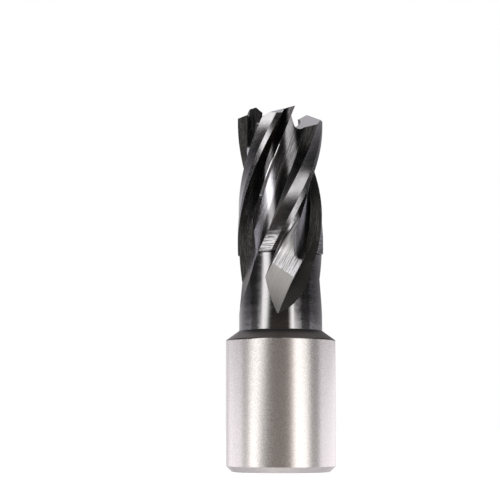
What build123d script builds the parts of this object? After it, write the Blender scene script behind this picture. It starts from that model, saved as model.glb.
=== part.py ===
from build123d import *
import os
from math import acos, atan, cos, degrees, radians, sin, tan

# Annular cutter with a plain clamping shank, ground from one bar of high-speed steel.
# Millimetres. The axis is Z, the origin is the centre of the shank's end face, and the teeth
# point up. Angles run from the front (-Y) towards +X, which is the way the flutes climb.

# Shank and neck
shank_diameter = 19.05
shank_length = 22.6
shank_chamfer = 1.0
shoulder_height = 1.65
shoulder_edge_radius = 0.35
neck_diameter = 14.5

# Clamping flats, ground into the back of the shank, and the angle midway between the two
flat_depth = 1.2
flat_start = 4.0
flat_length = 14.0
flat_spacing = 90.0
flats_facing = 195.0

# Toothed barrel
cutting_diameter = 15.0
overall_length = 63.5
barrel_length = 25.9
core_bore_diameter = 6.9
core_bore_depth = 28.0
pilot_bore_diameter = 6.4
bore_mouth_chamfer = 0.5

# Flutes, as angles on the section from each tooth's outer leading edge
tooth_count = 4
flute_lead = 88.0
edge_angle_at_top = 101.0
ledge_radius = 5.87
ledge_angle = 17.0
floor_radius = 5.3
floor_sag = 0.42
heel_foot_angle = 57.0
heel_angle = 64.5
margin_angle = 7.5
land_relief = 0.17

# Run-out of each flute, where the grinding wheel lifts out of the neck
run_out_drop = 1.6
run_out_depth = 0.06
run_out_radius = 28.0
run_out_lean = 30.0

# Tooth ends: the face that rises out of each gullet, the relief behind it, and the next gullet
face_angle = 18.5
relief_lag = 54.0
gullet_lag = 82.0
gullet_wall_slope = 65.0
gullet_radius = 1.1
end_relief = 20.5
tooth_end_depth = 8.5

# How far the cutting tools reach past the surfaces that they cut
clear = 4.0
sliver = 0.5
block = 90.0

# Each tooth's place round the axis in pitches from the right-hand one, the radius of its crest,
# how far the crest lies below the longest tooth's, and how steeply its end falls outwards and back
tooth_ends = (
    (0, 5.4, 0.3, 24.0, 32.5),
    (-1, 5.85, 0.25, 29.0, 25.5),
    (-2, 4.8, 0.0, 12.0, 32.5),
    (1, 5.85, 0.3, 26.0, 30.0),
)

shank_radius = shank_diameter / 2
neck_radius = neck_diameter / 2
cutting_radius = cutting_diameter / 2
core_radius = core_bore_diameter / 2
pilot_radius = pilot_bore_diameter / 2
tooth_pitch = 360 / tooth_count
barrel_start = overall_length - barrel_length
core_bore_end = overall_length - core_bore_depth
outside = cutting_radius + clear
twist_rate = 360 / flute_lead


def polar(radius, angle):
    """A point on the cross-section, with the angle counted from the front."""
    return (radius * sin(radians(angle)), -radius * cos(radians(angle)))


def outward(angle):
    """The level direction that leads away from the axis."""
    return Vector(*polar(1, angle))


def sideways(angle):
    """The level direction square to it, towards larger angles."""
    return Vector(cos(radians(angle)), sin(radians(angle)))


def edge_angle(height):
    """Where the right-hand tooth's outer leading edge lies at a height."""
    return edge_angle_at_top - (overall_length - height) * twist_rate


def twisted(section, start, end):
    """A prism that turns with the flutes as it rises from start to end."""
    rise = end - start
    return Solid.extrude_linear_with_rotation(section, (0, 0, start), (0, 0, rise), rise * twist_rate)


def flute_section(height):
    """The stepped section of one flute: edge wall, ledge, hollow floor, heel and relieved land."""
    edge = edge_angle(height)
    ledge_end = edge + ledge_angle
    foot = edge + heel_foot_angle
    land_end = edge + tooth_pitch - margin_angle
    with BuildSketch(Plane.XY.offset(height)) as section:
        with BuildLine():
            Line(polar(outside, edge), polar(ledge_radius, edge))
            ThreePointArc(
                polar(ledge_radius, edge),
                polar(ledge_radius, edge + ledge_angle / 2),
                polar(ledge_radius, ledge_end),
            )
            Line(polar(ledge_radius, ledge_end), polar(floor_radius, ledge_end))
            ThreePointArc(
                polar(floor_radius, ledge_end),
                polar(floor_radius - floor_sag, (ledge_end + foot) / 2),
                polar(floor_radius, foot),
            )
            Polyline(
                polar(floor_radius, foot),
                polar(cutting_radius - land_relief, edge + heel_angle),
                polar(cutting_radius, land_end),
                polar(outside, land_end),
                polar(outside, edge),
            )
        make_face()
    return section.sketch.face()


# Flute: a twisted prism that starts a little below the barrel
run_out_start = barrel_start - run_out_drop
flute = twisted(flute_section(run_out_start), run_out_start, overall_length + clear)

# Run-out: the wheel's rim is a chord from the ledge's corner to the heel's foot, and leans with
# the flute. Downwards it lifts out of the neck in an arc of its own radius, and upwards the same
# arc cuts the ledge away.
foot_turn = radians(heel_foot_angle)
rim_turn = atan((ledge_radius - floor_radius * cos(foot_turn)) / (floor_radius * sin(foot_turn)))
rim_depth = ledge_radius * cos(rim_turn) - run_out_depth
rim_angle = edge_angle(run_out_start) + degrees(rim_turn)
lean = radians(run_out_lean)
rim_line = sideways(rim_angle) * cos(lean) - Vector(0, 0, sin(lean))
travel = sideways(rim_angle) * sin(lean) + Vector(0, 0, cos(lean))
run_out_arc = degrees(acos(1 - (neck_radius + sliver - rim_depth) / run_out_radius))


def on_wheel(radius, angle):
    """A point of the flute's section, seen square to the leaning wheel."""
    turn = radians(angle) - rim_turn
    return (radius * sin(turn) * cos(lean), radius * cos(turn) - run_out_depth)


with BuildPart() as run_out:
    with BuildSketch(Plane((0, 0, run_out_start), x_dir=rim_line, z_dir=-travel)):
        with BuildLine():
            Polyline(
                on_wheel(ledge_radius, 0),
                on_wheel(floor_radius, heel_foot_angle),
                on_wheel(cutting_radius, heel_angle),
                on_wheel(outside, heel_angle + margin_angle),
                on_wheel(outside, 0),
                close=True,
            )
        make_face()
    wheel_centre = Vector(0, 0, run_out_start) + outward(rim_angle) * (rim_depth + run_out_radius)
    revolve(axis=Axis(wheel_centre, -rim_line), revolution_arc=run_out_arc)
    mirror(about=Plane((0, 0, run_out_start), z_dir=travel))


def tooth_gap(start, end):
    """The whole space from one tooth's face to the next, the web between them included."""
    first = edge_angle(start) - tooth_pitch + face_angle
    last = first + tooth_pitch + sliver
    with BuildSketch(Plane.XY.offset(start)) as section:
        with BuildLine():
            Line(polar(sliver, first), polar(outside, first))
            ThreePointArc(
                polar(outside, first), polar(outside, (first + last) / 2), polar(outside, last)
            )
            Polyline(polar(outside, last), polar(sliver, last), polar(sliver, first))
        make_face()
    return twisted(section.sketch.face(), start, end)


gap = tooth_gap(overall_length - tooth_end_depth, overall_length + clear)


def rising(angle, slope):
    """The upward normal of a plane that climbs towards larger angles, square to a direction."""
    return Vector(0, 0, 1) - sideways(angle) * tan(radians(slope))


def tooth_end(place, crest_radius, crest_drop, outer_slope, relief_slope):
    """What is ground away behind one tooth: its outer facet, its relief and the next gullet."""
    crest_height = overall_length - crest_drop
    face = edge_angle(crest_height) + face_angle + place * tooth_pitch
    crest = outward(face) * crest_radius + Vector(0, 0, crest_height)
    relief_up = rising(face - relief_lag, relief_slope)
    facet_up = rising(face, end_relief) + outward(face) * tan(radians(outer_slope))
    wall_up = rising(face - gullet_lag, -gullet_wall_slope)
    root = outward(face - gullet_lag) * floor_radius
    root += Vector(0, 0, crest_height - (root - crest).dot(relief_up - Vector(0, 0, 1)))
    with BuildPart() as gullet:
        with BuildSketch(Plane(crest, z_dir=relief_up)):
            Rectangle(block, block)
        extrude(amount=block)
        with BuildSketch(Plane(root, z_dir=wall_up)):
            Rectangle(block, block)
        extrude(amount=block, mode=Mode.INTERSECT)
        fillet(edges().sort_by_distance(root)[0], gullet_radius)
    with BuildPart() as ground_away:
        with BuildSketch(Plane(crest, z_dir=facet_up)):
            Rectangle(block, block)
        extrude(amount=block)
        add(gullet.part)
        add(gap.rotate(Axis.Z, place * tooth_pitch), mode=Mode.INTERSECT)
    return ground_away.part


ends_ground_away = [tooth_end(*tooth) for tooth in tooth_ends]

with BuildPart() as annular_cutter:
    with BuildSketch(Plane.XZ):
        with BuildLine():
            Polyline(
                (pilot_radius + bore_mouth_chamfer, 0),
                (shank_radius - shank_chamfer, 0),
                (shank_radius, shank_chamfer),
                (shank_radius, shank_length),
                (neck_radius, shank_length + shoulder_height),
                (neck_radius, barrel_start),
                (cutting_radius, barrel_start),
                (cutting_radius, overall_length + sliver),
                (core_radius, overall_length + sliver),
                (core_radius, core_bore_end),
                (pilot_radius, core_bore_end - (core_radius - pilot_radius)),
                (pilot_radius, bore_mouth_chamfer),
                close=True,
            )
        make_face()
        shoulder = vertices().sort_by_distance((shank_radius, shank_length))[0]
        fillet(shoulder, shoulder_edge_radius)
    revolve(axis=Axis.Z)
    for side in (-1, 1):
        facing = flats_facing + side * flat_spacing / 2
        seat = outward(facing) * (shank_radius - flat_depth)
        middle = Vector(0, 0, flat_start + flat_length / 2)
        with BuildSketch(Plane(seat + middle, x_dir=sideways(facing), z_dir=outward(facing))):
            Rectangle(shank_diameter, flat_length)
        extrude(amount=shank_radius, mode=Mode.SUBTRACT)
    with PolarLocations(0, tooth_count):
        add(flute, mode=Mode.SUBTRACT)
        add(run_out.part, mode=Mode.SUBTRACT)
    for ground_away in ends_ground_away:
        add(ground_away, mode=Mode.SUBTRACT)

annular_cutter.part.label = "annular_cutter"
os.makedirs("parts", exist_ok=True)
export_step(annular_cutter.part, "parts/annular_cutter.step")
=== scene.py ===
# %% [markdown]
# # An annular cutter in ground steel
# The real object is one bar of high-speed steel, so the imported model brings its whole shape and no
# new piece is needed. What the eye sees from a step away is how each part of it was finished: a
# satin-ground shank, a darker neck, helical flutes cut by a grinding wheel, and matte tooth ends.
# This script gives that one mesh a steel whose finish follows its form, and sets up the studio
# that the steel mirrors.

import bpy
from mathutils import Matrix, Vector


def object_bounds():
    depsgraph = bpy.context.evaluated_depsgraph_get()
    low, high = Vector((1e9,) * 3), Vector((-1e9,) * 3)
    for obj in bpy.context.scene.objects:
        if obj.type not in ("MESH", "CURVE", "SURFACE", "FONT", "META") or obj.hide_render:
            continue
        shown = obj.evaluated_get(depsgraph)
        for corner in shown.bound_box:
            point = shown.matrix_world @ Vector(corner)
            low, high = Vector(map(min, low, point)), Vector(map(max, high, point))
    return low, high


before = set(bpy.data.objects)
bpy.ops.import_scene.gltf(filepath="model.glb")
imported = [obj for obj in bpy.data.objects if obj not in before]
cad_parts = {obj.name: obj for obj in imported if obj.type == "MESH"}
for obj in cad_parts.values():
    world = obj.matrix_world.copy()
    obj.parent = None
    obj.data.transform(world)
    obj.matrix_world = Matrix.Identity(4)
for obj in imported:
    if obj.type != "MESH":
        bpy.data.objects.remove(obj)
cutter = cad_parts["annular_cutter"]
cad_box = [list(corner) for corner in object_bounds()]
print("cutter:", len(cutter.data.polygons), "faces, box", cad_box)

# %% [markdown]
# The finish needs to know where it is on the cutter, so the sizes that the forms were made with
# are repeated here, in millimetres. Angles are counted in degrees from the front of the cutter
# towards its right-hand side, which is the way that the flutes climb.

# %% Sizes of the cutter's forms
from math import atan, cos, degrees, pi, radians, sin

import bpy
import numpy as np

MM = 0.001
TO_DEGREES = 180 / pi
TO_RADIANS = pi / 180
OVERALL_LENGTH = cad_box[1][2] / MM
SHANK_LENGTH = 22.6
SHOULDER_TOP = 24.25
NECK_RADIUS = 7.25
BARREL_START = 37.6
LEDGE_RADIUS = 5.87
FLOOR_RADIUS = 5.3
LEDGE_ANGLE = 17.0
HEEL_FOOT_ANGLE = 57.0
EDGE_ANGLE_AT_TOP = 101.0
TOOTH_PITCH = 90.0
TWIST_RATE = 360 / 88.0
print(f"overall length {OVERALL_LENGTH:.2f} mm, flutes turn {TWIST_RATE:.2f} degrees per mm")

# %% [markdown]
# ## Arithmetic on sockets
# A finish is worked out from position, and in Blender that means chains of Math nodes. They are
# unreadable as calls, so a small class wraps a socket and lets Python's operators add the nodes:
# an expression such as `1 - mask * 0.5` becomes two of them. Most masks below are soft steps
# between 0 and 1. Each is given by the level that it lies at and its softness, which is how wide
# it is. So a pair of numbers named in capitals is a level and a softness, and a triple is a low
# level, a high level and the softness of both.

# %% A socket that takes arithmetic
class Field:
    """A socket's value all over a surface, which can be used in Python arithmetic."""

    def __init__(self, tree, socket):
        self.tree = tree
        self.socket = socket

    def math(self, operation, *values):
        made = self.tree.node("ShaderNodeMath", dict(enumerate(values)), operation=operation)
        return Field(self.tree, made.outputs[0])

    def __add__(self, other):
        return self.math("ADD", self, other)

    def __radd__(self, other):
        return self.math("ADD", other, self)

    def __sub__(self, other):
        return self.math("SUBTRACT", self, other)

    def __rsub__(self, other):
        return self.math("SUBTRACT", other, self)

    def __mul__(self, other):
        return self.math("MULTIPLY", self, other)

    def __rmul__(self, other):
        return self.math("MULTIPLY", other, self)

    def __truediv__(self, other):
        return self.math("DIVIDE", self, other)

    def __rtruediv__(self, other):
        return self.math("DIVIDE", other, self)

    def __mod__(self, other):
        return self.math("FLOORED_MODULO", self, other)

    def __rmod__(self, other):
        return self.math("FLOORED_MODULO", other, self)

    def __pow__(self, other):
        return self.math("POWER", self, other)

    def __rpow__(self, other):
        return self.math("POWER", other, self)

    def __abs__(self):
        return self.math("ABSOLUTE", self)

    def above(self, level, softness):
        """0 well below a level, 1 well above it, with a smooth step as wide as the softness."""
        made = self.tree.node(
            "ShaderNodeMapRange",
            {"Value": self, "From Min": level - softness / 2, "From Max": level + softness / 2},
            interpolation_type="SMOOTHSTEP",
        )
        return Field(self.tree, made.outputs["Result"])

    def below(self, level, softness):
        """The opposite: 1 well below a level and 0 well above it."""
        return 1 - self.above(level, softness)

    def between(self, low, high, softness):
        """1 between two levels and 0 outside them."""
        return self.above(low, softness) * self.below(high, softness)


def turn_from_front(x, y):
    """How far round from the front, which is -Y, towards +X: the arctangent of x over -y."""
    return x.math("ARCTAN2", x, 0 - y) * TO_DEGREES


print("arithmetic on sockets ready")

# %% [markdown]
# Everything that isn't plain arithmetic comes from one method, which takes a node's type, what
# goes into its sockets, and its settings. The settings are set first, because some of them, such
# as the data type of a Mix node, decide which of its sockets are in use.

# %% A tree that makes the nodes
class Tree:
    """A node tree that is emptied and then written as expressions."""

    def __init__(self, owner):
        owner.use_nodes = True
        self.nodes = owner.node_tree.nodes
        self.links = owner.node_tree.links
        self.nodes.clear()

    def node(self, kind, sockets=None, **settings):
        """One node: its settings first, and then a value or a link for each socket."""
        made = self.nodes.new(kind)
        for name, value in settings.items():
            setattr(made, name, value)
        for name, value in (sockets or {}).items():
            if isinstance(value, Field):
                self.links.new(value.socket, made.inputs[name])
            else:
                made.inputs[name].default_value = value
        return made

    def field(self, made, name=0):
        return Field(self, made.outputs[name])

    def point(self, x, y, z):
        return self.field(self.node("ShaderNodeCombineXYZ", {0: x, 1: y, 2: z}))

    def mix(self, amount, first, second):
        """Goes from the first colour to the second as the amount goes from 0 to 1."""
        made = self.node("ShaderNodeMix", {0: amount, 6: first, 7: second}, data_type="RGBA")
        return Field(self, made.outputs[2])

    def grain(self, place, size, detail, roughness):
        """Noise between 0 and 1, with its middle at 0.5, on a place that is already stretched."""
        made = self.node(
            "ShaderNodeTexNoise",
            {"Vector": place, "Scale": 1 / size, "Detail": detail, "Roughness": roughness},
        )
        return Field(self, made.outputs[0])


print("node trees ready")

# %% [markdown]
# ## The studio
# Polished steel has hardly any look of its own: it shows what stands round it. A photographer
# lights a bright cylinder with two tall softboxes in front, left and right of the camera, and
# leaves dark gaps between them, because the bands of light and dark are what make it look like
# metal. Lamps and cards could do this, but then every surface would need its own. Here the world
# itself is painted by direction instead. A direction is read as two angles in degrees: how far
# round it lies from the front, and how far up.

# %% Directions in the room
LEFT_HALF = (0.0, 20.0)
world = bpy.data.worlds.new("studio")
bpy.context.scene.world = world
room = Tree(world)
looking = room.field(room.node("ShaderNodeTexCoord"), "Generated")
parts = room.node("ShaderNodeSeparateXYZ", {0: looking})
right, back, up = (room.field(parts, i) for i in range(3))
round_to = turn_from_front(right, back)
upwards = up.math("ARCSINE", up) * TO_DEGREES
from_front = abs(round_to)
on_left = round_to.below(*LEFT_HALF)
print("the room is read by its angles round and up")

# %% [markdown]
# The eye is level with the shank, so the shank mirrors what lies near the table's height, the neck
# what is a few degrees higher, and the teeth what is higher still. Splitting the room into these
# levels lets each form have its own bands, as it has under real lamps that lean and taper.

# %% Levels of the room
TABLE_GLOW_TOP = (3.05, 1.0)
NECK_LEVEL = (3.4, 8.5, 2.0)
HIGH_LEVEL = (4.0, 10.0)
UNDER_LEVEL = (-8.0, 8.0)
near_table = upwards.below(*TABLE_GLOW_TOP)
at_neck = upwards.between(*NECK_LEVEL)
high_up = upwards.above(*HIGH_LEVEL)
underneath = upwards.below(*UNDER_LEVEL)
print("the table's glow ends at", TABLE_GLOW_TOP[0], "degrees up")

# %% [markdown]
# Each strip is a window in the angle round the cutter, with an outer edge that is a little crisper
# than the inner one. At the neck's level both strips draw in, and higher up the left one leans
# towards the front and the right one is dimmer. The strips' own edges are plain pairs of angles.

# %% Two tall strips
LEFT_STRIP = (-69.0, -44.0)
RIGHT_STRIP = (28.0, 60.0)
OUTER_BLUR = 8.0
INNER_BLUR = 11.0
LEFT_LEAN = 15.0
LEFT_NECK_DRAW_IN = 7.0
LEFT_TABLE_DRAW_IN = 4.0
RIGHT_NECK_DRAW_IN = 22.0
RIGHT_TABLE_SPREAD = 3.0
RIGHT_FADE_START = (8.0, 5.0)
RIGHT_FADE = 0.35
STRIP_HEIGHTS = (-30.0, 40.0, 20.0)
STRIP_LIGHT = 1.9
STRIP_UNDER_DIM = 0.5
leaning = round_to - high_up * LEFT_LEAN
left_outer = (leaning - at_neck * LEFT_NECK_DRAW_IN).above(LEFT_STRIP[0], OUTER_BLUR)
left_inner = (leaning + near_table * LEFT_TABLE_DRAW_IN).below(LEFT_STRIP[1], INNER_BLUR)
right_inner = (round_to + near_table * RIGHT_TABLE_SPREAD).above(RIGHT_STRIP[0], INNER_BLUR)
right_outer = (round_to + at_neck * RIGHT_NECK_DRAW_IN).below(RIGHT_STRIP[1], OUTER_BLUR)
right_strip = right_inner * right_outer * (1 - upwards.above(*RIGHT_FADE_START) * RIGHT_FADE)
strips = (left_outer * left_inner + right_strip) * upwards.between(*STRIP_HEIGHTS)
strips = strips * STRIP_LIGHT * (1 - underneath * STRIP_UNDER_DIM)
print("strips at", LEFT_STRIP, "and", RIGHT_STRIP)

# %% [markdown]
# Beyond the strips come dim gaps and then the sides of the room, which go on round to the back.
# Near the table's height they glow, because a white table lights them, and above it they are dusk
# that brightens towards the back. Nothing real is quite even, so the left side differs from the
# right.

# %% Gaps and sides
GAP = (58.0, 92.0, 14.0)
GAP_LIGHT = 0.36
GAP_LIGHT_ADDED_ON_LEFT = 0.18
DUSK_LIGHT = 0.04
BACK = (132.0, 74.0)
BACK_LIGHT = 0.3
BACK_LIGHT_ADDED_ON_LEFT = 0.38
GLOW_LIGHT = 1.26
LEFT_SHADE = (140.0, 156.0, 8.0)
LEFT_SHADE_DEPTH = 0.6
REAR = (158.0, 14.0)
REAR_SHADE_DEPTH = 0.34
SIDE_START = (92.0, 8.0)
SIDE_TABLE_SPREAD = 4.0
SIDE_HEIGHTS = (-25.0, 50.0, 20.0)
SIDE_UNDER_DIM = 0.26
gaps = from_front.between(*GAP) * near_table * (GAP_LIGHT + on_left * GAP_LIGHT_ADDED_ON_LEFT)
dusk = DUSK_LIGHT + from_front.above(*BACK) * (BACK_LIGHT + on_left * BACK_LIGHT_ADDED_ON_LEFT)
left_shade = from_front.between(*LEFT_SHADE) * on_left * LEFT_SHADE_DEPTH
glow = GLOW_LIGHT - left_shade - from_front.above(*REAR) * REAR_SHADE_DEPTH
sides = (from_front + near_table * SIDE_TABLE_SPREAD).above(*SIDE_START)
sides = sides * (dusk + near_table * (glow - dusk))
sides = sides * upwards.between(*SIDE_HEIGHTS) * (1 - underneath * SIDE_UNDER_DIM)
print("sides from", SIDE_START[0], "degrees round")

# %% [markdown]
# The rest is a bright ceiling, a pale table far below, and a dark room straight ahead, where the
# camera stands. What little light comes from there is warm, and the light from the sides is cool.
# The camera itself sees plain white behind the cutter, as in a product picture.

# %% Ceiling, room and colours of the light
CEILING = (50.0, 20.0)
CEILING_LIGHT = 0.7
TABLE = (-28.0, 16.0)
TABLE_LIGHT = 0.5
AHEAD = (44.0, 50.0)
AHEAD_LIGHT = 0.165
DARK_ROOM_LIGHT = 0.016
WARM_WIDTH = (26.0, 16.0)
WARM_HEIGHTS = (-5.0, 2.4, 3.0)
COOL_START = (86.0, 10.0)
LAMP_WHITE = (1.0, 0.985, 0.97, 1)
WARM = (1.0, 0.66, 0.50, 1)
COOL = (0.975, 0.945, 1.0, 1)
ceiling = upwards.above(*CEILING) * CEILING_LIGHT
table = upwards.below(*TABLE) * TABLE_LIGHT
ahead = from_front.below(*AHEAD) * near_table * AHEAD_LIGHT
light = DARK_ROOM_LIGHT + strips + gaps + sides + ceiling + table + ahead
warm_part = from_front.below(*WARM_WIDTH) * upwards.between(*WARM_HEIGHTS)
light_colour = room.mix(warm_part, LAMP_WHITE, WARM)
light_colour = room.mix(from_front.above(*COOL_START), light_colour, COOL)
seen = room.node("ShaderNodeLightPath")
lit = room.field(room.node("ShaderNodeBackground", {"Color": light_colour, "Strength": light}))
plain = room.field(room.node("ShaderNodeBackground", {"Color": (1, 1, 1, 1), "Strength": 1.0}))
shown = room.node("ShaderNodeMixShader", {0: room.field(seen, "Is Camera Ray"), 1: lit, 2: plain})
room.node("ShaderNodeOutputWorld", {"Surface": room.field(shown)})
print("world has", len(room.nodes), "nodes")

# %% [markdown]
# The floor is a plain white sheet. It catches the soft shadow under the cutter. Steel would mirror
# it as a hard horizon across the shank, which the flat white of a product picture doesn't have, so
# it is kept out of reflections. It also gives off some light of its own, to be as white as the
# background that it meets.

# %% The floor
FLOOR_SIZE = 3.0
corners = np.array([(-1, -1, 0), (1, -1, 0), (1, 1, 0), (-1, 1, 0)]) * FLOOR_SIZE / 2
floor_mesh = bpy.data.meshes.new("floor")
floor_mesh.from_pydata(corners.tolist(), [], [(0, 1, 2, 3)])
floor = bpy.data.objects.new("floor", floor_mesh)
bpy.context.scene.collection.objects.link(floor)
floor.visible_glossy = False
paper = bpy.data.materials.new("white_floor")
sheet = Tree(paper)
white = sheet.node(
    "ShaderNodeBsdfPrincipled",
    {
        "Base Color": (0.94, 0.94, 0.94, 1),
        "Roughness": 0.9,
        "Specular IOR Level": 0.1,
        "Emission Color": (1, 1, 1, 1),
        "Emission Strength": 0.72,
    },
)
sheet.node("ShaderNodeOutputMaterial", {"Surface": sheet.field(white)})
floor.data.materials.append(paper)
print("floor", FLOOR_SIZE, "m wide")

# %% [markdown]
# ## Ground steel
# One material covers the whole cutter, because it is one piece of steel, and its finish changes
# with the form. The place on the cutter is read as a maker would: how far from the axis, how high,
# and how far round from the nearest tooth's cutting edge, measured along the helix. Each face also
# says how much it looks outwards from the axis, and how much sideways.

# %% Where a point lies on the cutter
steel_material = bpy.data.materials.new("ground_steel_finish")
steel = Tree(steel_material)
coordinates = steel.node("ShaderNodeTexCoord")
in_mm = {0: steel.field(coordinates, "Object"), "Scale": 1 / MM}
place = steel.field(steel.node("ShaderNodeVectorMath", in_mm, operation="SCALE"))
own_face = steel.field(coordinates, "Normal")
facing = steel.node("ShaderNodeSeparateXYZ", {0: own_face})
face_x, face_y, face_z = (steel.field(facing, i) for i in range(3))
split = steel.node("ShaderNodeSeparateXYZ", {0: place})
x, y, z = (steel.field(split, i) for i in range(3))
radius = (x * x + y * y) ** 0.5
turn = turn_from_front(x, y)
edge = EDGE_ANGLE_AT_TOP - (OVERALL_LENGTH - z) * TWIST_RATE
past_edge = (turn - edge) % TOOTH_PITCH
face_out = (face_x * x + face_y * y) / radius
face_side = (face_y * x - face_x * y) / radius
print("place, facing, radius and helix angle ready")

# %% [markdown]
# At the lower end of each flute the wheel lifted out of the neck in an arc of its own radius, and
# left a facet like a long petal. Its surface lies at the wheel's radius from the wheel's axis, so
# that distance finds it. The four run-outs are alike, a quarter turn apart, so the angle is folded
# into one quarter first. The wheel leant with the flute: one measure runs along its rim, across
# the facet, and the other along its travel, up the facet.

# %% Where the wheel lifted out
RUN_OUT_START = 36.0
RUN_OUT_DEPTH = 0.06
WHEEL_RADIUS = 28.0
LEAN = radians(30.0)
FACET_TOUCH = (0.05, 0.04)
FACET_HEIGHTS = (SHOULDER_TOP, 46.0, 0.5)
foot = radians(HEEL_FOOT_ANGLE)
rim_turn = atan((LEDGE_RADIUS - FLOOR_RADIUS * cos(foot)) / (FLOOR_RADIUS * sin(foot)))
rim_depth = LEDGE_RADIUS * cos(rim_turn) - RUN_OUT_DEPTH
rim_angle = EDGE_ANGLE_AT_TOP - (OVERALL_LENGTH - RUN_OUT_START) * TWIST_RATE + degrees(rim_turn)
half_pitch = TOOTH_PITCH / 2
from_rim = ((turn - (rim_angle - half_pitch)) % TOOTH_PITCH - half_pitch) * TO_RADIANS
outwards = radius * from_rim.math("COSINE", from_rim)
sidewards = radius * from_rim.math("SINE", from_rim)
above_start = z - RUN_OUT_START
across_facet = sidewards * cos(LEAN) - above_start * sin(LEAN)
up_facet = sidewards * sin(LEAN) + above_start * cos(LEAN)
to_wheel = ((rim_depth + WHEEL_RADIUS - outwards) ** 2 + up_facet * up_facet) ** 0.5
facet = abs(to_wheel - WHEEL_RADIUS).below(*FACET_TOUCH) * z.between(*FACET_HEIGHTS)
print(f"facet centred at {rim_angle:.1f} degrees, {rim_depth:.2f} mm deep")

# %% [markdown]
# The zones of the finish are soft masks between 0 and 1, made from those measures. First come the
# forms that a lathe or a grinder leaves: the shank, the cone on its shoulder, the round neck with
# a painted shadow line just under the teeth, the lands on the teeth, the tooth ends and the bore.
# What is left above the cone was cut in by the wheel.

# %% Zones: the round forms and the tooth ends
EDGE_BLUR = 0.12
SHANK_TOP = SHANK_LENGTH - 0.1
CONE_TOP = (SHOULDER_TOP, 0.2)
ROUND_RADIUS = (NECK_RADIUS - 0.12, 0.1)
ROUND_FACING = (0.96, 0.04)
LAND_START = (BARREL_START - 0.05, 0.08)
STEP_SHADOW_START = (BARREL_START - 0.3, 0.16)
TOOTH_END_START = (52.0, 1.0)
TOOTH_END_FACING = (0.62, 0.1)
BORE_RADIUS = (3.6, 0.1)
shank = z.below(SHANK_TOP, EDGE_BLUR)
shoulder = z.between(SHANK_TOP, SHOULDER_TOP, EDGE_BLUR)
over_cone = z.above(*CONE_TOP)
round_face = radius.above(*ROUND_RADIUS) * face_out.above(*ROUND_FACING)
land = round_face * z.above(*LAND_START)
neck = round_face * over_cone * (1 - land)
step_shadow = neck * z.above(*STEP_SHADOW_START)
tooth_end = z.above(*TOOTH_END_START) * face_z.above(*TOOTH_END_FACING)
bore = radius.below(*BORE_RADIUS)
cut_in = over_cone * (1 - round_face) * (1 - tooth_end)
print("zones of the round forms and the tooth ends ready")

# %% [markdown]
# The petal of each run-out has a scratched upper part, painted bright as a highlight, and a plainer
# lower one. Beside it the wheel's flank left a slope, and so did the heel, whose faces look
# sideways; both are painted dark as shade, as the walls are.

# %% Zones: the run-outs
HEEL_FACING = (-0.5, 0.12)
PETAL_FACING = (0.6, 0.1)
PETAL_ROUNDING_START = (1.2, 4.0)
LOWER_PETAL_TOP = (-2.1, 0.25)
FLANK_START = (1.85, 0.12)
FLANK_TOP = (42.0, 1.0)
heel = face_side.below(*HEEL_FACING)
petal = cut_in * facet * face_out.above(*PETAL_FACING) * (1 - heel)
petal_top = petal * up_facet.above(*PETAL_ROUNDING_START)
lower_petal = petal * up_facet.below(*LOWER_PETAL_TOP)
flank = cut_in * (1 - petal) * across_facet.above(*FLANK_START) * z.below(*FLANK_TOP)
print("zones of the run-outs ready")

# %% [markdown]
# Inside a flute, the step between the ledge and the floor is narrow, and a highlight is painted
# along its corner. Faces that don't look outwards are walls, painted dark as shade. What remains is
# hollow: the ledge, whose upper part is painted dark as shade, and the floor, with a painted
# highlight along its middle and painted shade towards the heel and the teeth.

# %% Zones: the flutes
STEP_TURN = (LEDGE_ANGLE - 1.5, LEDGE_ANGLE + 2.0, 1.0)
STEP_RADIUS = (FLOOR_RADIUS - 0.06, LEDGE_RADIUS + 0.1, 0.1)
STEP_HEIGHTS = (47.5, 56.6, 1.0)
SHALLOW_FACING = (0.72, 0.16)
LEDGE_START = (LEDGE_RADIUS - 0.2, 0.2)
LEDGE_END = (LEDGE_ANGLE, 1.0)
LEDGE_HEIGHT = (45.0, 5.0)
FLOOR_TOP = (LEDGE_RADIUS - 0.25, 0.3)
FLOOR_FACING = (0.86, 0.1)
FLOOR_HIGHLIGHT_TURN = (LEDGE_ANGLE, 40.0, 6.0)
FLOOR_HIGHLIGHT_HEIGHTS = (37.0, 54.0, 6.0)
step = past_edge.between(*STEP_TURN) * radius.between(*STEP_RADIUS) * z.between(*STEP_HEIGHTS)
step = cut_in * (1 - petal) * step
steep = cut_in * (1 - step) * (1 - petal)
shallow = steep * face_out.above(*SHALLOW_FACING) * (1 - heel) * (1 - flank)
wall = steep - shallow
hollow = cut_in * (1 - wall) * (1 - petal)
ledge = hollow * radius.above(*LEDGE_START) * past_edge.below(*LEDGE_END) * z.above(*LEDGE_HEIGHT)
floor_of_flute = hollow * radius.below(*FLOOR_TOP) * face_out.above(*FLOOR_FACING)
# A painted highlight runs along the middle of each flute's floor, which is also a little rougher.
floor_highlight = hollow * past_edge.between(*FLOOR_HIGHLIGHT_TURN) * z.between(*FLOOR_HIGHLIGHT_HEIGHTS)
print("zones of the flutes ready")

# %% [markdown]
# Shade is painted on the floor in its half towards the heel, and near the teeth, whose ends keep
# light out. The shaded half widens as it nears the teeth.

# %% Painted shade on the flutes' floor
HEEL_HALF = (42.0, 12.0)
HEEL_HALF_WIDENING = 9.0
WIDENING_START = (53.0, 6.0)
NEAR_TEETH = (52.0, 7.0)
SHADE_NEAR_TEETH = 0.45
SHADE_NEAR_HEEL = 0.64
heel_half = (past_edge + z.above(*WIDENING_START) * HEEL_HALF_WIDENING).above(*HEEL_HALF)
floor_light = 1 - z.above(*NEAR_TEETH) * SHADE_NEAR_TEETH
floor_light = floor_light * (1 - heel_half * SHADE_NEAR_HEEL)
floor_shade = hollow * (1 - floor_light)
print("shade of the floor ready")

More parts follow.
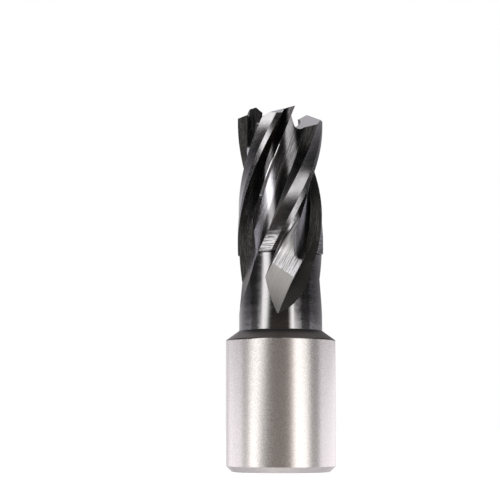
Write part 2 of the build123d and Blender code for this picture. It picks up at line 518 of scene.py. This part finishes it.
# %% [markdown]
# Grinding leaves scratches along the way that the wheel or the work moved. On the shank, the neck
# and the lands they run round the axis, so the noise is stretched round and squeezed along it. In
# the flutes they run along the helix, so the noise is squeezed across the helix instead. On the
# facets they run up the wheel's travel. Each way has fine marks, and two of them have broader
# bands. Sizes are in millimetres.

# %% Grinding marks
ROUND_STRETCH = 0.05
HELIX_SQUEEZE = 0.09
HELIX_STRETCH = 0.035
FACET_DEPTH_STRETCH = 0.1
FACET_STRETCH = 0.03
NOISE_MIDDLE = 0.5
around = steel.point(turn * TO_RADIANS * radius * ROUND_STRETCH, radius, z)
along = steel.point(past_edge * HELIX_SQUEEZE, radius, z * HELIX_STRETCH)
up_the_facet = steel.point(across_facet, radius * FACET_DEPTH_STRETCH, up_facet * FACET_STRETCH)
round_marks = steel.grain(around, size=0.085, detail=3.0, roughness=0.6)
round_bands = steel.grain(around, size=0.6, detail=2.0, roughness=0.5)
flute_marks = steel.grain(along, size=0.085, detail=3.0, roughness=0.6)
flute_bands = steel.grain(along, size=0.45, detail=2.0, roughness=0.5)
land_marks = steel.grain(around, size=0.3, detail=2.0, roughness=0.6)
facet_marks = steel.grain(up_the_facet, size=0.22, detail=3.0, roughness=0.6)
speckle = steel.grain(place, size=0.35, detail=3.0, roughness=0.6)
fine_speckle = steel.grain(place, size=0.12, detail=2.0, roughness=0.6)
marks = round_marks + (flute_marks - round_marks) * cut_in
marks = marks + (facet_marks - marks) * petal - NOISE_MIDDLE
print("grinding marks ready")

# %% [markdown]
# The shank is pale, because it is ground last and left satin. The neck and the flutes are darker
# from hardening, and the cone between shank and neck is nearly black. The colour is laid on in
# coats, as paint is: each line puts one colour over what is there, as far as its mask reaches.

# %% Colours of the round forms and the floors
PALE = (0.86, 0.82, 0.80, 1)
DUSKY = (0.495, 0.485, 0.50, 1)
NECK = (0.44, 0.43, 0.44, 1)
SHADE_BLACK = (0.045, 0.044, 0.043, 1)
HIGHLIGHT_LAVENDER = (0.90, 0.885, 0.96, 1)
SHADE_AND_SCRATCH_DARK = (0.08, 0.078, 0.082, 1)
BRIGHT_MARKS = (0.56, 0.1)
FLOOR_MARKS = 0.55
LEDGE_SHADE_DEPTH = 0.92
LEDGE_MARKS = 0.45
bright_marks = flute_marks.above(*BRIGHT_MARKS)
tone = steel.mix(shank, steel.mix(neck, DUSKY, NECK), PALE)
# A painted shadow line on the neck just under the step of the teeth.
tone = steel.mix(step_shadow, tone, SHADE_BLACK)
# Painted highlight: a pale lavender band along the middle of the floor.
tone = steel.mix(floor_highlight, tone, HIGHLIGHT_LAVENDER)
# Painted shade on the floor, broken by paler grinding marks.
tone = steel.mix(floor_shade * (1 - bright_marks * FLOOR_MARKS), tone, SHADE_AND_SCRATCH_DARK)
# Painted shade on the ledge's upper part, broken by paler grinding marks.
tone = steel.mix(ledge * (LEDGE_SHADE_DEPTH - bright_marks * LEDGE_MARKS), tone, SHADE_BLACK)
print("colours of the round forms and the floors ready")

# %% [markdown]
# The lower ends of the lands are scratched, where the work was turned against the wheel. The
# facets carry fine scratches, strong on the upper part and faint on the lower one. Their upper part
# is painted pale lavender as a highlight, and where they run up into the flute they are painted
# dark as shade.

# %% Colours of the lands' ends and the facets
LAND_END = (42.0, 3.0)
LAND_SCRATCHES = (0.5, 0.06)
LAND_SCRATCH_DEPTH = 0.62
FACET = (0.49, 0.475, 0.465, 1)
UPPER_FACET_HIGHLIGHT = (0.72, 0.705, 0.74, 1)
STREAK = (0.30, 0.29, 0.28, 1)
FACET_TOP_SHADE_START = (2.4, 3.0)
FACET_TOP_SHADE_DEPTH = 0.72
FACET_SCRATCHES = (0.47, 0.08)
FACET_SCRATCH_DEPTH = 0.75
LOWER_SCRATCHES_LESS = 0.45
land_scratches = land_marks.below(*LAND_SCRATCHES) * LAND_SCRATCH_DEPTH
facet_scratches = facet_marks.below(*FACET_SCRATCHES)
facet_scratches = facet_scratches * (FACET_SCRATCH_DEPTH - lower_petal * LOWER_SCRATCHES_LESS)
tone = steel.mix(land * z.below(*LAND_END) * land_scratches, tone, SHADE_AND_SCRATCH_DARK)
# The upper part of the facet is painted pale lavender as a highlight.
tone = steel.mix(petal * (1 - petal_top), tone, steel.mix(lower_petal, UPPER_FACET_HIGHLIGHT, FACET))
# Painted shade where the facet runs up into the flute.
tone = steel.mix(petal * up_facet.above(*FACET_TOP_SHADE_START) * FACET_TOP_SHADE_DEPTH, tone, SHADE_AND_SCRATCH_DARK)
tone = steel.mix(petal * facet_scratches, tone, STREAK)
print("colours of the lands' ends and the facets ready")

# %% [markdown]
# Last come the walls, painted dark as shade with a few paler marks, the painted highlight on the
# step, the cone with painted shade at its top where it meets the neck, the matte tooth ends and
# the painted shade in the bore.

# %% Colours of the walls, the cone, the tooth ends and the bore
DARK_STREAK = (0.18, 0.176, 0.172, 1)
STEP_HIGHLIGHT = (0.74, 0.76, 0.80, 1)
CONE = (0.14, 0.124, 0.115, 1)
CONE_CORNER_SHADE = (0.03, 0.028, 0.027, 1)
MATTE = (0.60, 0.59, 0.61, 1)
WALL_MARKS = (0.54, 0.1)
WALL_MARK_DEPTH = 0.65
CONE_CORNER_SHADE_START = (23.6, 0.9)
wall_marks = flute_marks.above(*WALL_MARKS) * WALL_MARK_DEPTH
# Walls, flanks and heels are painted dark as shade.
tone = steel.mix(wall, tone, SHADE_BLACK)
tone = steel.mix(wall * (1 - flank) * wall_marks, tone, DARK_STREAK)
# A painted highlight along the step's corner.
tone = steel.mix(step, tone, STEP_HIGHLIGHT)
# The cone's top, where it meets the neck, is painted darker as shade.
tone = steel.mix(shoulder, tone, steel.mix(z.above(*CONE_CORNER_SHADE_START), CONE, CONE_CORNER_SHADE))
tone = steel.mix(tooth_end, tone, MATTE)
# Painted shade inside the bore.
tone = steel.mix(bore, tone, SHADE_BLACK)
print("colours ready")

# %% [markdown]
# Roughness tells the zones apart as much as colour does: a rough face blurs the strips into a
# glow, a smooth one keeps them narrow. The sum starts at smooth steel, and each line says how much
# a zone, its bands or its marks add to that. The height is worked out in the same way, and says
# how deep the marks are pressed in.

# %% Roughness and height
SMOOTH_STEEL = 0.12
fine_grain = fine_speckle - NOISE_MIDDLE
roughness = (
    SMOOTH_STEEL
    + shank * 0.16
    + shoulder * 0.24
    + land * 0.11
    + floor_highlight * 0.07
    + petal * 0.12
    + lower_petal * 0.14
    + floor_of_flute * 0.04
    + tooth_end * 0.3
    - neck * 0.02
    + wall * 0.14
    + (round_bands - NOISE_MIDDLE) * (0.10 - shank * 0.07) * (1 - cut_in)
    + (flute_bands - NOISE_MIDDLE) * 0.16 * cut_in
    + (speckle - NOISE_MIDDLE) * 0.08
    + fine_grain * shank * 0.18
    + marks * (0.14 - shank * 0.12)
)
mark_depth = 0.3 + land * 0.9 - shank * 0.24 - neck * 0.22 + petal * 0.6 + floor_of_flute * 0.6
grain_depth = shank * 0.8 + neck * 0.4 + tooth_end * 1.2
height = marks * mark_depth + fine_grain * grain_depth
print("roughness and height ready")

# %% [markdown]
# The wheel dressed the flute's floor to the round of the core, so it mirrors as a cylinder does.
# Its faces are turned to look straight out from the axis, and so, less fully, are those of the
# step and of the facet's top. The fine marks are pressed in after that.

# %% Which way the faces look
FLOOR_ROUNDING = 0.85
STEP_ROUNDING = 0.7
FACET_TOP_ROUNDING = 0.8
MARK_STRENGTH = 0.3
MARK_HEIGHT = 0.02 * MM
from_axis = steel.point(x, y, 0.0)
straight_out = steel.node("ShaderNodeVectorMath", {0: from_axis}, operation="NORMALIZE")
rounding = (
    floor_of_flute * FLOOR_ROUNDING + step * STEP_ROUNDING + petal_top * FACET_TOP_ROUNDING
)
smoothed = steel.node(
    "ShaderNodeMix",
    {0: rounding, 4: own_face, 5: steel.field(straight_out)},
    data_type="VECTOR",
)
bumped = steel.node(
    "ShaderNodeBump",
    {
        "Strength": MARK_STRENGTH,
        "Distance": MARK_HEIGHT,
        "Height": height,
        "Normal": steel.field(smoothed, 1),
    },
)
print("the floor's faces look out from the axis")

# %% [markdown]
# All of it meets in one shader. Steel is a metal everywhere, but the satin of the shank and the
# matte tooth ends scatter a little light of their own, so they are slightly less so.

# %% The steel
SHANK_SCATTER = 0.10
TOOTH_END_SCATTER = 0.25
finish = steel.node(
    "ShaderNodeBsdfPrincipled",
    {
        "Base Color": tone,
        "Metallic": 1 - shank * SHANK_SCATTER - tooth_end * TOOTH_END_SCATTER,
        "Roughness": roughness,
        "Normal": steel.field(bumped),
    },
)
steel.node("ShaderNodeOutputMaterial", {"Surface": steel.field(finish)})
for slot in cutter.material_slots:
    slot.material = steel_material
print("steel with", len(steel.nodes), "nodes on", cutter.name)

# %% [markdown]
# ## The camera
# The picture was taken from low down and near: the shank's lower edge bends one way and its upper
# edge the other, so the eye was level with a point on the shank. The camera stands there and tilts
# up a little to take in the teeth, and looks a little to the left, because the cutter stands right
# of the middle.

# %% The camera
PHOTO_WIDTH = 500
FOCAL_PIXELS = 1446.0
SENSOR = 36.0
CAMERA_PLACE = (0.0, -0.2521, 0.00814)
CAMERA_PITCH = 6.87
CAMERA_YAW = 1.213
camera_data = bpy.data.cameras.new("camera")
camera_data.sensor_width = SENSOR
camera_data.lens = SENSOR * FOCAL_PIXELS / PHOTO_WIDTH
camera_data.clip_start = 0.01
camera = bpy.data.objects.new("camera", camera_data)
camera.location = CAMERA_PLACE
camera.rotation_euler = (radians(90 + CAMERA_PITCH), 0, radians(CAMERA_YAW))
bpy.context.scene.collection.objects.link(camera)
bpy.context.scene.camera = camera
bpy.context.scene.view_settings.view_transform = "Standard"
print(f"lens {camera_data.lens:.1f} mm, pitch {CAMERA_PITCH} and yaw {CAMERA_YAW:.2f} degrees")
